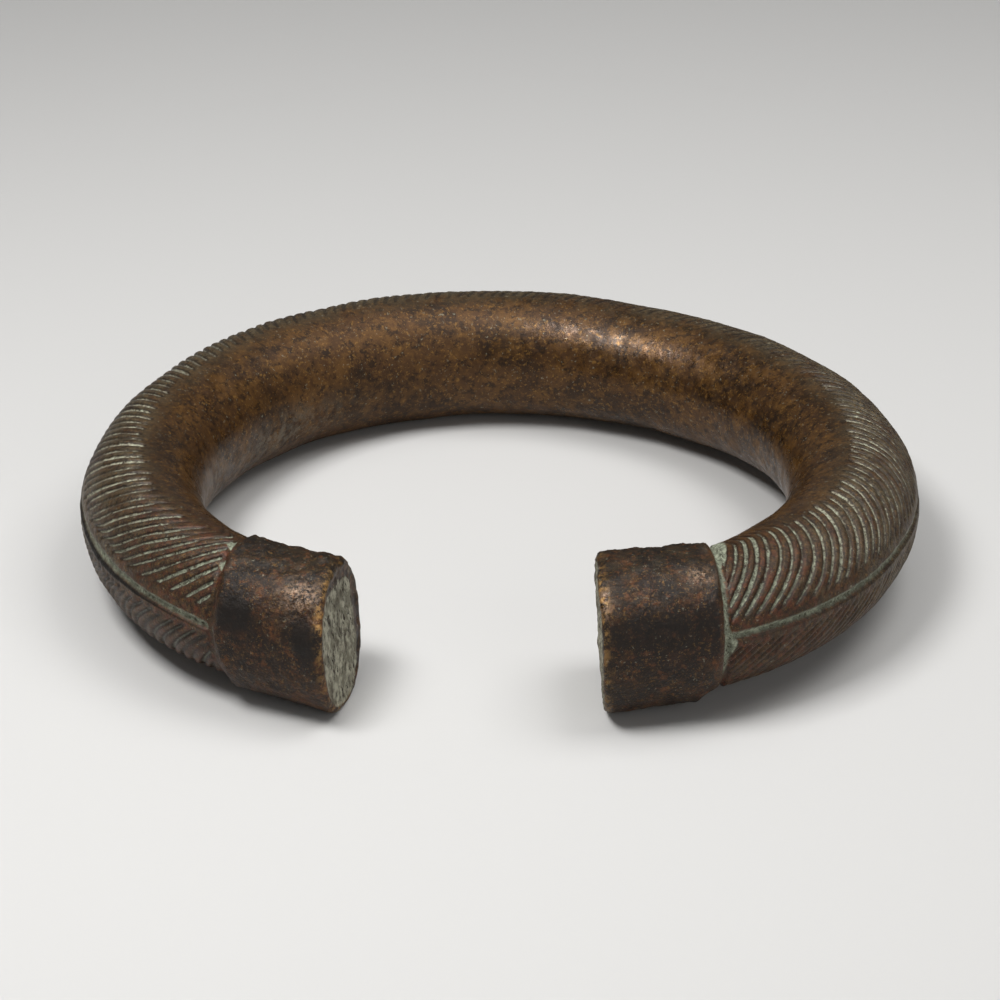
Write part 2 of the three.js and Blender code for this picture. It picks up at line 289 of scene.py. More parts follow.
# %% [markdown]
# ## Spacing and lean of the lines
# On the real bracelet the lines stand a little over 1.4 mm apart along the right side, 1.5 mm towards the
# left, and up to 1.85 mm near the left collar. From their tops they run nearly square to the bar and then
# sweep over towards the right terminal. The columns of the mesh are moved so that they follow the lines,
# because a slanting cut across a square mesh would come out as a staircase. Over the inner side the columns
# slant back. Below the middle groove the lines are finer: nine of them to every seven above. They lean over
# at once and straighten on their way down.

# %% Sizes of the lines and the groove
upper = dict(top=97, foot=19, depth=0.36, lean_left=11, lean=7, lean_right=5.3, sweep_left=0.05, sweep=0.54)
lower = dict(top=3, foot=-80, depth=0.5, lean_left=5.5, lean=6.2, lean_right=7, sweep_left=-1, sweep=-1)
lean_reach_left, lean_reach_right = 22, 14
groove = dict(angle=10.5, half=3.8, depth=0.45, droop=6, droop_reach=5)
pitch_at = ([-24, -3, 1, 7, 13, 18, 24, 150, 165, 183, 190, 225],
            [1.7, 1.62, 1.55, 1.85, 1.85, 1.6, 1.5, 1.42, 1.42, 1.5, 1.46, 1.42])
fine = np.linspace(-24, 225, 2000)
lines_before = np.concatenate([[0], np.cumsum(np.diff(fine) / np.interp(fine[1:], *pitch_at))])


def line_place(line):
    """Distance along the bar of a line's top, from its number."""
    return np.interp(line, lines_before, fine)


def lean_of(lines, s, angle):
    """How far a line that starts at s has run along the bar at an angle, in millimetres."""
    share = np.clip((lines["top"] - angle) / (lines["top"] - lines["foot"]), 0, 1)
    near_left = 1 - smooth(s / lean_reach_left)
    near_right = 1 - smooth((bar_length - s) / lean_reach_right)
    whole = mix(mix(lines["lean"], lines["lean_left"], near_left), lines["lean_right"], near_right)
    sweep = mix(lines["sweep"], lines["sweep_left"], near_left)
    return whole * ((1 - sweep) * share + sweep * share * share)


def lean(s, angle):
    """How far the columns have run, with the lines outside and back again over the inner side."""
    run = lean_of(upper, s, angle) + lean_of(lower, s, angle)
    whole = lean_of(upper, s, first_row) + lean_of(lower, s, first_row)
    left_to_go = np.clip((first_row + 360 - angle) / (first_row + 360 - inner_row), 0, 1)
    return np.where(angle > inner_row, whole * (1 - left_to_go), run)


tops = line_place(np.arange(line_count) + 0.5)
print("lines whose tops lie on the bar:", int(((tops > 0) & (tops < bar_length)).sum()), "of", line_count)

# %% Where each column lies along the bar
start = places(casting)
column = np.rint(start[:, 0] / (unit / columns_per_line))
angle = np.degrees(np.arctan2(start[:, 2], start[:, 1]))
angle = np.where(angle < first_row - 0.5, angle + 360, angle)
above_line = (column + 0.5) / columns_per_line
below_line = (column + 0.5) / columns_per_lower_line
line_top = line_place(above_line)
run = line_top + lean(line_top, angle)
print("columns along the bar:", int(column.max()) + 1)

# %% [markdown]
# No hand draws a hundred even lines. Each line is shifted a little, wavers along its length, and is a
# little deeper or shallower than the next. The middle groove wanders too, widens like a lens near the left
# end and droops beside the left collar. The rows of the mesh that carry the groove are moved along with it.

# %% The uneven hand
def hand_shift(line, angle, kind, size):
    """Sideways shift of the nearest lines, blended between them."""
    first = np.floor(line - 0.5)
    share = line - 0.5 - first

    def of(k):
        waver = 0.5 * np.sin(np.radians(angle) * (2.2 + shake(k, kind + 1)) + 6 * shake(k, kind + 2))
        return size * (shake(k, kind) + waver)

    return mix(of(first), of(first + 1), share)


hand_above, hand_below = 0.12, 0.1
over = smooth((angle - 12) / 6) * (angle < 130)
under = smooth((5 - angle) / 6) * (angle > first_row + 1)
run = run + over * hand_shift(above_line, angle, 1, hand_above)
run = run + under * hand_shift(below_line, angle, 11, hand_below)

near_groove = smooth(1 - (np.abs(angle - groove["angle"]) - 6) / 14)
wander = 0.5 * np.sin(run / 9) + 0.35 * np.sin(run / 4.1 + 2)
lens = np.exp(-((run - 16.5) / 5.5) ** 2)
angle = angle + near_groove * (wander + (angle - groove["angle"]) * 0.5 * lens)
droop_share = smooth(1 - np.abs(angle - groove["angle"]) / 40)
droop = groove["droop"] * np.exp(-np.maximum(run - neck_groove_width, -3) / groove["droop_reach"])
drooped = angle - droop * droop_share
print("widest shift of a point along the bar, mm:", round(float(np.abs(run - line_top).max()), 2))

# %% [markdown]
# ## How deep each point is cut
# A cut is deepest on its own line and fades to both sides like a worn V. It starts and stops in a tapered
# tip, each at its own height. Round the back the lines are weaker, and beside the left collar many of their
# tops are worn almost away. Below the groove they are strongest on the left.

# %% Depth of the cuts
def cut_across(line, pitch, width):
    """1 in the middle of each line, fading to both sides."""
    off = (line - np.floor(line) - 0.5) * pitch
    return np.exp(-((off / width) ** 2))


pitch_here = np.interp(run, *pitch_at)
number = np.floor(above_line)
tip_top = upper["top"] + 3 * shake(number, 3) + 16 * smooth((run - 188) / 9) + 18 * smooth((6 - run) / 5)
tip_foot = upper["foot"] + 2.5 + 2 * shake(number, 4)
upper_cut = cut_across(above_line, pitch_here, 0.27 + 0.05 * shake(number, 5))
upper_cut *= smooth((tip_top - angle) / 6) * smooth((angle - tip_foot) / 5)
upper_cut *= 0.82 + 0.18 * shake(number, 2) + 0.12 * np.sin(angle / 7 + 5 * shake(number, 6))
upper_cut *= 1 - 0.5 * smooth((run - 50) / 22) * smooth((152 - run) / 15)
near_left = 1 - smooth((run - 7) / 14)
high_up = smooth((angle - 64) / 20)
upper_cut *= 1 - 0.7 * near_left * high_up * (shake(number, 7) < 0.6) * (run > 3)

number = np.floor(below_line)
left_share = 1 - smooth((run - 30) / 40)
lower_pitch = pitch_here * columns_per_lower_line / columns_per_line
lower_cut = cut_across(below_line, lower_pitch, mix(0.2, 0.28, left_share))
lower_cut *= smooth((lower["top"] + 1 - 2 * np.abs(shake(number, 8)) - angle) / 4)
lower_cut *= smooth((angle - lower["foot"] - 3 * shake(number, 9)) / 6)
lower_cut *= (0.75 + 0.25 * shake(number, 10)) * mix(0.45, 1, left_share)

from_middle = (angle - groove["angle"] - wander) / (groove["half"] * (1 + 0.5 * lens))
groove_cut = 1 - smooth((np.abs(from_middle) - 0.35) / 0.75)
groove_pale = np.exp(-(((from_middle - 0.35) / 0.95) ** 2))
groove_foot = np.exp(-(((from_middle + 0.95) / 0.4) ** 2)) * mix(0.45, 1, np.exp(-((run - 17) / 10) ** 2))
for name, cut in (("upper", upper_cut), ("lower", lower_cut), ("groove", groove_cut)):
    print(f"{name} cut reaches {cut.max():.2f} on {int((cut > 0.1).sum())} points")

# %% [markdown]
# The depths go on as vertex groups, as one would paint weights by hand, and a Displace for each group sinks
# the surface by its weight. The points are moved to their places first, while the bar is still a plain
# cylinder, so that every cut goes straight towards its middle. The same depths are kept as marks, because
# the material paints shade into the cuts and lays corrosion in them.

# %% Engrave
radial = np.radians(drooped)
put(casting, np.stack([run, straight_radius * np.cos(radial), straight_radius * np.sin(radial)], 1) * MM)
take(casting)
cuts = (("upper lines", upper_cut, upper["depth"]), ("lower lines", lower_cut, lower["depth"]),
        ("middle groove", groove_cut, groove["depth"]))
for name, cut, depth in cuts:
    weigh(casting, name, cut)
    sink = casting.modifiers.new(name, "DISPLACE")
    sink.vertex_group = name
    sink.mid_level = 0
    sink.strength = -depth * MM
    bpy.ops.object.modifier_apply(modifier=sink.name)
    print("engraved:", name, depth, "mm deep")
mark(casting, "lines", np.clip(upper_cut, 0, 1))
mark(casting, "low lines", np.clip(lower_cut, 0, 1))
mark(casting, "groove", groove_pale)
mark(casting, "groove foot", groove_foot)

# %% [markdown]
# The slanting columns leave both ends of the bar slanting. A bisect cuts them off square where the grooves
# beside the collars begin. It is the same as sawing the ends of the bar.

# %% Saw both ends square
take(casting)
bpy.ops.object.mode_set(mode="EDIT")
bpy.ops.mesh.select_all(action="SELECT")
bar_start, bar_end = neck_groove_width, bar_length - neck_groove_width
bpy.ops.mesh.bisect(plane_co=(bar_start * MM, 0, 0), plane_no=(1, 0, 0), clear_inner=True, threshold=1e-6)
bpy.ops.mesh.select_all(action="SELECT")
bpy.ops.mesh.bisect(plane_co=(bar_end * MM, 0, 0), plane_no=(1, 0, 0), clear_outer=True, threshold=1e-6)
leave()
at = places(casting) / MM
print("bar from", round(at[:, 0].min(), 3), "to", round(at[:, 0].max(), 3), "mm,", len(at), "points")

# %% [markdown]
# ## The collars
# Each collar starts as a cylinder beside the end of the straight bar. Its end is bevelled for the worn rim
# and inset again and again, so that the flat face has rings of points for its corrosion. The sides are cut
# into rings for dents and lumps. At the neck the edge is extruded down into the groove between collar and
# bar.

# %% Make a collar
collar_sides = 128
collar_cuts = 41
rim_segments = 5
face_rings = 19
face_middle = 0.25
same_place = 1e-6


def make_collar(collar):
    way, begin, length = collar["way"], collar["begin"], collar["length"]
    near = begin * MM
    far = (begin + way * length) * MM
    bpy.ops.object.select_all(action="DESELECT")
    bpy.ops.mesh.primitive_cylinder_add(vertices=collar_sides, radius=straight_radius * MM, depth=length * MM,
                                        location=((begin + way * length / 2) * MM, 0, 0),
                                        rotation=(0, math.pi / 2, 0))
    piece = bpy.context.object
    piece.name = collar["side"] + "_collar"
    bpy.ops.object.transform_apply(location=True, rotation=True, scale=True)

    centres = np.array([f.center[0] for f in piece.data.polygons])
    pick(piece, "FACE", np.abs(centres - near) < same_place)
    bpy.ops.mesh.delete(type="ONLY_FACE")
    leave()
    at, ends = places(piece), edge_ends(piece)
    pick(piece, "EDGE", (np.abs(at[ends, 0] - far) < same_place).all(1))
    bpy.ops.mesh.bevel(offset=rim_radius * MM, segments=rim_segments, profile=0.5, affect="EDGES")
    leave()
    at, ends = places(piece), edge_ends(piece)
    pick(piece, "EDGE", np.abs(at[ends[:, 0], 0] - at[ends[:, 1], 0]) > length * MM / 2)
    bpy.ops.mesh.subdivide(number_cuts=collar_cuts)
    leave()
    sides = np.array([len(f.vertices) for f in piece.data.polygons])
    pick(piece, "FACE", sides == collar_sides)
    for _ in range(face_rings):
        bpy.ops.mesh.inset(thickness=(straight_radius - rim_radius - face_middle) / face_rings * MM)
    bpy.ops.mesh.merge(type="CENTER")
    leave()
    at, ends = places(piece), edge_ends(piece)
    pick(piece, "EDGE", (np.abs(at[ends, 0] - near) < same_place).all(1))
    size, place = 1, near
    for run_share, depth_share in groove_steps:
        x = (begin - way * neck_groove_width * run_share) * MM
        bpy.ops.mesh.extrude_region_move(TRANSFORM_OT_translate={"value": (x - place, 0, 0)})
        wanted = 1 - neck_groove_depth * collar["groove"] * depth_share / straight_radius
        bpy.ops.transform.resize(value=(1, wanted / size, wanted / size), center_override=(x, 0, 0))
        size, place = wanted, x
    leave()
    print(piece.name, "has", len(piece.data.vertices), "points and ends at", round(far / MM, 2), "mm")
    return piece


collar_pieces = [make_collar(collar) for collar in both_collars]

# %% [markdown]
# Bar and collars are one casting, so they are joined into one object and the open edges at each neck are
# bridged. Bridge Edge Loops copes with loops that have different numbers of points.

# %% Join the casting
take(casting)
for piece in collar_pieces:
    piece.select_set(True)
bpy.ops.object.join()
for collar in both_collars:
    bar_edge = collar["begin"] - collar["way"] * neck_groove_width
    collar_edge = collar["begin"] - collar["way"] * neck_groove_width * groove_steps[-1][0]
    at, ends = places(casting) / MM, edge_ends(casting)
    of_bar = (np.abs(at[ends, 0] - bar_edge) < 1e-4).all(1)
    of_collar = (np.abs(at[ends, 0] - collar_edge) < 1e-4).all(1)
    pick(casting, "EDGE", of_bar | of_collar)
    bpy.ops.mesh.bridge_edge_loops()
    leave()
    print("bridged at", round(bar_edge, 1), "mm:", int(of_bar.sum()), "edges to", int(of_collar.sum()))

# %% [markdown]
# ## Round into a ring
# A curve modifier could bend the bar, but not give it its changing thickness, the turn of each collar and
# the slant of the end faces. So each point is carried over by formula: its distance along the bar gives the
# place on the ring, its angle the place round the bar, and its radius how far it lies above or below the
# surface.

# %% Sizes along the bar
bar_swells = ((41, 1, 0.1, 1.3), (23, 2, 0.07, 0.4), (13, 1, 0.05, 2.6))


def bar_size(s, size):
    """Half the bar's width or height at s, from its sizes at the back, the sides and the necks."""
    turn = 2 * np.clip(s, 0, bar_length) / bar_length - 1
    q = np.abs(turn)
    side = np.where(turn < 0, size["left"], size["right"])
    neck = np.where(turn < 0, size["left neck"], size["right neck"])
    return (size["back"] * (1 - q) * (1 - 2 * q) + 4 * side * q * (1 - q) + neck * q * (2 * q - 1)) / 2


def unevenness(s, angle):
    """The slight swells of the bar: each has a length, turns round the bar, a height and a start."""
    height = 0
    for length, turns, size, begin in bar_swells:
        height = height + size * np.sin(2 * np.pi * s / length + begin) * np.cos(turns * angle + begin)
    return height


def axis_of(collar):
    """The way a collar's axis points, seen from above and taken from the left end to the right one."""
    yaw = math.radians(collar["yaw"])
    return collar["way"] * np.array([math.cos(yaw), math.sin(yaw)])


def station(s):
    """Places on the ring and the directions along and out there."""
    s = np.clip(s, 0, bar_length)
    at = np.stack([np.interp(s, ring_run, ring_line[:, i]) for i in (0, 1)], 1)
    along = np.stack([np.interp(s, ring_run, ring_ways[:, i]) for i in (0, 1)], 1)
    near_left = np.clip(1 - s / neck_blend, 0, 1)[:, None]
    near_right = np.clip(1 - (bar_length - s) / neck_blend, 0, 1)[:, None]
    along = along * (1 - near_left - near_right)
    along = along + near_left * axis_of(left_collar) + near_right * axis_of(right_collar)
    along /= np.linalg.norm(along, axis=1)[:, None]
    return at, along, np.stack([-along[:, 1], along[:, 0]], 1)


print("half height at left side, back, right side, mm:",
      [round(float(bar_size(np.array(bar_length * k), bar_height)), 2) for k in (0.25, 0.5, 0.75)])

# %% Carry the bar over
flat = places(casting) / MM
s = flat[:, 0]
angle = np.arctan2(flat[:, 2], flat[:, 1])
radius = np.hypot(flat[:, 1], flat[:, 2])
place, along, out_way = station(s)
half_width, half_height = bar_size(s, bar_width), bar_size(s, bar_height)
facing = np.stack([np.cos(angle) / half_width, np.sin(angle) / half_height], 1)
facing /= np.linalg.norm(facing, axis=1)[:, None]
lift = unevenness(s, angle) + radius - straight_radius
ring_out = half_width * np.cos(angle) + facing[:, 0] * lift
ring_up = half_height * np.sin(angle) + facing[:, 1] * lift
ring_on = np.zeros(len(s))
from_neck_all = np.zeros(len(s))
print("points carried over with the bar:", int(((s >= 0) & (s <= bar_length)).sum()))

# %% [markdown]
# A point of a collar has two places: one on the form of the collar, squarer than the bar and with its
# lumps, and one on the form of the bar's end. The step at the neck takes it from the second to the first.
# Its edge wavers a little, as a cast edge does.

# %% Forms of the collars
def bulge(value):
    """Makes a circle squarer by pushing its corners out."""
    return np.sign(value) * np.abs(value) ** (2 / collar_squareness)


def collar_form(collar, from_neck, a, r):
    """Places outwards and upwards on the collar's own form."""
    raised = np.maximum(r - straight_radius, -rim_radius)
    for side, where, lump_angle, height, spread in lumps:
        if side == collar["side"]:
            around = ((np.degrees(a) - lump_angle + 540) % 360 - 180) * np.radians(1) * collar["width"] / 2
            raised = raised + height * np.exp(-((from_neck - where) ** 2 + around ** 2) / spread ** 2)
    share = from_neck / collar["length"]
    wide = collar["width"] / 2 + collar["flare"] * share
    high = collar["height"] / 2 + collar["flare"] * share
    shrink = np.clip(r / (straight_radius - rim_radius), 0, 1)
    out = (wide * bulge(np.cos(a)) + raised * np.cos(a)) * shrink
    up = (high * bulge(np.sin(a)) + raised * np.sin(a)) * shrink
    return out, up


def step_up(collar, from_neck, a):
    """0 on the neck and 1 on the collar."""
    ramp = mix(collar["step"], collar["under_step"], ((1 - np.sin(a)) / 2) ** 2)
    wobble = 0.25 * np.sin(5 * a + 1) + 0.2 * np.sin(11 * a + 2) + 0.12 * np.sin(23 * a)
    return smooth((from_neck + collar["lead"] + wobble * collar["step"]) / ramp)


def neck_form(collar, a, r, risen):
    """Places outwards and upwards on the form of the bar's end."""
    neck = np.full(len(a), collar["begin"])
    lift = unevenness(neck, a) * (1 - risen) + np.maximum(r - straight_radius, -rim_radius)
    out = bar_size(neck, bar_width) * np.cos(a) + lift * np.cos(a)
    up = bar_size(neck, bar_height) * np.sin(a) + lift * np.sin(a)
    return out, up


print("lumps on the collars:", len(lumps))

# %% Carry the collars over
for collar in both_collars:
    on = into(collar, s) > 0
    from_neck, a, r = into(collar, s)[on], angle[on], radius[on]
    out, up = collar_form(collar, from_neck, a, r)
    risen = step_up(collar, from_neck, a)
    neck_out, neck_up = neck_form(collar, a, r, risen)
    slant = math.tan(math.radians(collar["tilt"])) * up + math.tan(math.radians(collar["skew"])) * out
    fall = collar["drop"] + from_neck * math.tan(math.radians(collar["dip"]))
    ring_out[on] = mix(neck_out, out, risen)
    ring_up[on] = mix(neck_up, up, risen) - fall * risen
    ring_on[on] = (from_neck + from_neck / collar["length"] * slant) * collar["way"]
    from_neck_all[on] = from_neck
ring = np.zeros((len(s), 3))
ring[:, :2] = place + out_way * ring_out[:, None] + along * ring_on[:, None]
ring[:, 2] = ring_up
print("ring before it is set down, mm:", np.round(ring.max(0) - ring.min(0), 2))

# %% [markdown]
# The solid part is turned by a degree or so, until it lies on both collars and the back, and its underside
# is worn flat there by a fraction of a millimetre. The same turn, height and shift put this piece in its
# frame.

# %% Set down on the ground
settle = Quaternion((0.999959947, -0.008521668, -0.002735876, 0))
ground = -9.350817
shift = np.array([-0.362991, -2.356505, 0])
ring = ring @ np.array(settle.to_matrix()).T
ring[:, 2] -= ground
ring += shift
put(casting, ring * MM)
take(casting)
bpy.ops.object.mode_set(mode="EDIT")
bpy.ops.mesh.select_all(action="SELECT")
bpy.ops.mesh.normals_make_consistent(inside=False)
leave()
print("points:", len(casting.data.vertices), " lowest point, mm:", round(float(ring[:, 2].min()), 3))

# %% [markdown]
# ## The cast and corroded skin
# The mould left the surface a little lumpy, and years of handling left small dents. The collars are rougher
# than the bar, with bumpy tops and many pits, and the end faces are rough and eaten into streaks. Displace
# with cloud textures does this, weighted by groups: one for the whole skin, one for the sides of the
# collars, one for their tops and one for the end faces. Each texture reads the piece's own place, so the
# lumps are the same each time.

# %% Groups for the skin
is_collar = from_neck_all > 0.3


def points_of(collar):
    return is_collar & (into(collar, s) > 0)


on_face = np.zeros(len(s))
for collar in both_collars:
    on = points_of(collar)
    at_end = collar["length"] + 0.02 - from_neck_all[on] < 0.06
    on_face[on] = smooth(at_end * (straight_radius - 0.7 - radius[on]) / 0.5)
everywhere = np.where(on_face > 0, 0.3, np.where(np.cos(angle) < -0.2, 0.55, 1.0))
on_sides = is_collar * (1 - on_face)
on_tops = on_sides * np.exp(-((np.degrees(angle) - 95) / 40) ** 2)
weigh(casting, "skin", everywhere)
weigh(casting, "end faces", on_face)
weigh(casting, "collars", on_sides)
weigh(casting, "collar tops", on_tops)
print("points on the end faces:", int((on_face > 0.5).sum()))

# %% Roughen the skin
def roughen(name, group, scale, depth, middle=1):
    """Pushes the surface in and out by clouds. The middle is the shade of cloud that moves nothing."""
    texture = bpy.data.textures.new(name, "CLOUDS")
    texture.noise_scale = scale * MM
    texture.noise_depth = 3
    displace = casting.modifiers.new(name, "DISPLACE")
    displace.texture = texture
    displace.texture_coords = "LOCAL"
    displace.vertex_group = group
    displace.mid_level = middle
    displace.strength = depth * MM
    bpy.ops.object.modifier_apply(modifier=displace.name)
    print("roughened:", name, depth, "mm over", scale, "mm")


take(casting)
roughen("cast lumps", "skin", 5, 0.16, 0.6)
roughen("small dents", "skin", 1.1, 0.14, 0.8)
roughen("collar dents", "collars", 2.4, 0.34, 0.5)
roughen("bumpy tops", "collar tops", 1.5, 0.85, 0.5)
roughen("collar pits", "collars", 0.9, 0.2, 0.8)
roughen("corrosion", "end faces", 0.8, 0.55)

# %% [markdown]
# Where the bracelet lies it is worn flat, and nothing of it stands outside the box of the solid part. Both
# are done by keeping each point within that box.

# %% Wear flat and keep inside the solid's box
now = places(casting)
kept = np.clip(now, np.array(cad_low), np.array(cad_high))
moved = np.abs(kept - now).max(1)
put(casting, kept)
print("points on the worn flats:", int((kept[:, 2] <= 1e-7).sum()), " moved by over 0.05 mm:",
      int((moved > 0.05 * MM).sum()))
take(casting)
bpy.ops.object.shade_smooth()

# %% [markdown]
# ## Marks for the patina and the painted light
# The finish differs from place to place, so the piece carries marks that its material reads, besides those
# of the cuts. These say how far towards the inner side a point lies, whether it is on a collar, on a
# collar's top, on an end face or on its worn rim, how near it is to a neck, and how far the fine pale lines
# reach.

# %% Marks of place
turned = np.degrees(angle)
beside = np.minimum(s, bar_length - s)
band_left = (-0.6 + 1.6 * np.exp(-((turned - 86) / 9) ** 2) + 1.2 * np.exp(-((turned - 60) / 9) ** 2)
             + 0.8 * np.exp(-((turned - 5) / 12) ** 2))
band_right = 0.5 + 1.9 * smooth((turned - 70) / 40) + 0.8 * np.exp(-((turned - 6) / 9) ** 2)
band = np.where(s < bar_length / 2, band_left, band_right)
above_foot = smooth((turned + 45) / 35)
mark(casting, "neck", smooth((band - beside + 0.4) / 0.8) * smooth((beside + 0.1) / 0.3) * above_foot)
mark(casting, "inner", smooth((-np.cos(angle) + 0.25) / 0.7))
mark(casting, "collar", smooth((from_neck_all - 0.1) / 0.4))
mark(casting, "collar top", on_tops)
inward = np.exp(-((np.abs(turned) - 180) / 50) ** 2) + 0.8 * np.exp(-((turned - 95) / 35) ** 2)
margin = 0.25 + 1.9 * inward * (s < 0)
mark(casting, "face", (on_face > 0.01) * np.clip((straight_radius - margin - radius) / 1.4, 0, 1))
mark(casting, "near_end", np.where(is_collar, 0, np.exp(-((beside / 16) ** 2))))
mark(casting, "reach", 0.25 + 0.75 * smooth((62 - beside) / 30))
rim = np.zeros(len(s))
for collar in both_collars:
    on = points_of(collar)
    to_end = collar["length"] - 0.3 - from_neck_all[on]
    to_side = np.maximum(straight_radius - 0.3 - radius[on], 0)
    upper_front = 0.65 * np.exp(-((turned[on] - 50) / 32) ** 2)
    lower_front = 0.35 * np.exp(-((turned[on] + 60) / 25) ** 2)
    rim[on] = np.exp(-((np.hypot(to_end, to_side) / 0.6) ** 2)) * (0.35 + upper_front + lower_front)
mark(casting, "rim", np.minimum(rim, 1))

# %% [markdown]
# The other marks are for painted light, use and age: a band of painted shade across the front of the right
# collar at mid-height and two spots of it on the left collar, spots where the collars are polished and
# a highlight is painted on, a duller stretch on the left part of the back, and a grey bloom low inside
# on the left.

# %% Marks of wear, age and painted light
def spot_on(collar, place_along, place_round, long, wide):
    """A soft spot on a collar, 1 in its middle."""
    along_spot = (into(collar, s) - place_along) / long
    return np.exp(-along_spot ** 2 - ((turned - place_round) / wide) ** 2)


# The dark mark is painted shade: a near-black band across the front of the right collar at mid-height, and
# two spots of it on the left collar.
painted_collar_shade = 0.5 * np.exp(-((turned - 24) / 17) ** 2) * (s > 0)
painted_collar_shade = np.maximum(painted_collar_shade, spot_on(left_collar, 2.5, 24, 2.2, 20))
painted_collar_shade = np.maximum(painted_collar_shade, spot_on(left_collar, 10.6, 18, 1.6, 18))
mark(casting, "painted_collar_shade", painted_collar_shade * is_collar)
# Polish spots are smoother, and the material also paints a highlight on them.
polish_and_painted_highlight = spot_on(left_collar, 9.8, 53, 2.2, 15)
polish_and_painted_highlight = np.maximum(polish_and_painted_highlight, spot_on(right_collar, 2, 66, 1.2, 8))
polish_and_painted_highlight = np.maximum(polish_and_painted_highlight, spot_on(right_collar, 12.2, 50, 0.8, 14))
mark(casting, "polish_and_painted_highlight", polish_and_painted_highlight)
mark(casting, "dull", np.exp(-((s - 78) / 20) ** 2))
below = (turned + 360) % 360
bloom = np.exp(-((s - 61) / 11) ** 2 - ((below - 196) / 17) ** 2)
faint_bloom = 0.7 * np.exp(-((s - 37) / 8) ** 2 - ((below - 196) / 20) ** 2)
mark(casting, "bloom", np.maximum(bloom, faint_bloom))

# %% [markdown]
# ## Bronze with its patina
# The bronze has a thin skin of dark brown oxide, thinner and golden where hands and sleeves rub it,
# red-brown on the ridges near both ends, with grey bloom low on the left inside and chalky grey-green
# corrosion in the hollows and on the end faces. It is one material with layers, each let through by noise
# and by the marks, so no edge between them is sharp.
# Some layers are painted light: shade in the cuts and across the front of the collars, and highlights on the
# collars.

# %% Tools for the material
patina = bpy.data.materials.new("patinated_bronze")
patina.use_nodes = True
nodes = patina.node_tree.nodes
links = patina.node_tree.links
shader = nodes["Principled BSDF"]
coordinates = nodes.new("ShaderNodeTexCoord").outputs["Object"]


def linear(value):
    """One part of a picture's colour, 0 to 255, made linear for the shader."""
    share = value / 255
    return share / 12.92 if share < 0.04045 else ((share + 0.055) / 1.055) ** 2.4


def srgb(r, g, b):
    return (linear(r), linear(g), linear(b), 1)


def feed(socket, value):
    if isinstance(value, bpy.types.NodeSocket):
        links.new(value, socket)
    else:
        socket.default_value = value


def noise(size, detail=6, rough=0.75, shift=0, stretch=1):
    """Cloudy noise from 0 to 1, its spots about size millimetres wide. A stretch below 1 makes them tall."""
    placed = nodes.new("ShaderNodeMapping")
    placed.inputs["Scale"].default_value = (1, 1, stretch)
    placed.inputs["Location"].default_value = (shift, shift * 0.7, shift * 0.3)
    links.new(coordinates, placed.inputs["Vector"])
    node = nodes.new("ShaderNodeTexNoise")
    node.inputs["Scale"].default_value = 1 / (size * MM)
    node.inputs["Detail"].default_value = detail
    node.inputs["Roughness"].default_value = rough
    links.new(placed.outputs["Vector"], node.inputs["Vector"])
    return node.outputs["Fac"]


def window(value, low, high):
    """0 below low, 1 above high, soft between."""
    node = nodes.new("ShaderNodeMapRange")
    node.interpolation_type = "SMOOTHSTEP"
    node.inputs["From Min"].default_value = low
    node.inputs["From Max"].default_value = high
    feed(node.inputs["Value"], value)
    return node.outputs["Result"]


def spots(size, low, high, shift, detail=6, rough=0.75, stretch=1):
    """Spots of noise. The shift takes each layer's noise from another place, so no two layers match."""
    return window(noise(size, detail, rough, shift, stretch), low, high)


def sums(kind, a, b):
    node = nodes.new("ShaderNodeMath")
    node.operation = kind
    node.use_clamp = kind != "SUBTRACT"
    feed(node.inputs[0], a)
    feed(node.inputs[1], b)
    return node.outputs["Value"]


def times(*values):
    result = values[0]
    for value in values[1:]:
        result = sums("MULTIPLY", result, value)
    return result


def most(*values):
    result = values[0]
    for value in values[1:]:
        result = sums("MAXIMUM", result, value)
    return result


def away_from(value):
    return sums("SUBTRACT", 1.0, value)


print("helpers: linear, srgb, feed, noise, window, spots, sums, times, most, away_from")

# %% Tools for laying colour over colour
def coat(under, colour, amount):
    """Lays a colour over another by an amount from 0 to 1."""
    node = nodes.new("ShaderNodeMix")
    node.data_type = "RGBA"
    feed(node.inputs["Factor"], amount)
    feed(node.inputs["A"], under)
    feed(node.inputs["B"], colour)
    return node.outputs["Result"]


def blend(a, b, amount):
    """A number that goes from a to b by an amount from 0 to 1."""
    node = nodes.new("ShaderNodeMix")
    feed(node.inputs["Factor"], amount)
    feed(node.inputs["A"], a)
    feed(node.inputs["B"], b)
    return node.outputs["Result"]


def read_mark(name):
    node = nodes.new("ShaderNodeAttribute")
    node.attribute_name = name
    return node.outputs["Fac"]


def ragged(value, size, amount, low, high, shift):
    """A window whose edge is pushed outwards here and there by noise, so that it is ragged."""
    push = most(sums("SUBTRACT", noise(size, 5, 0.7, shift), 0.5), 0.0)
    node = nodes.new("ShaderNodeMath")
    node.operation = "MULTIPLY_ADD"
    feed(node.inputs[0], push)
    node.inputs[1].default_value = amount
    feed(node.inputs[2], value)
    return window(node.outputs["Value"], low, high)


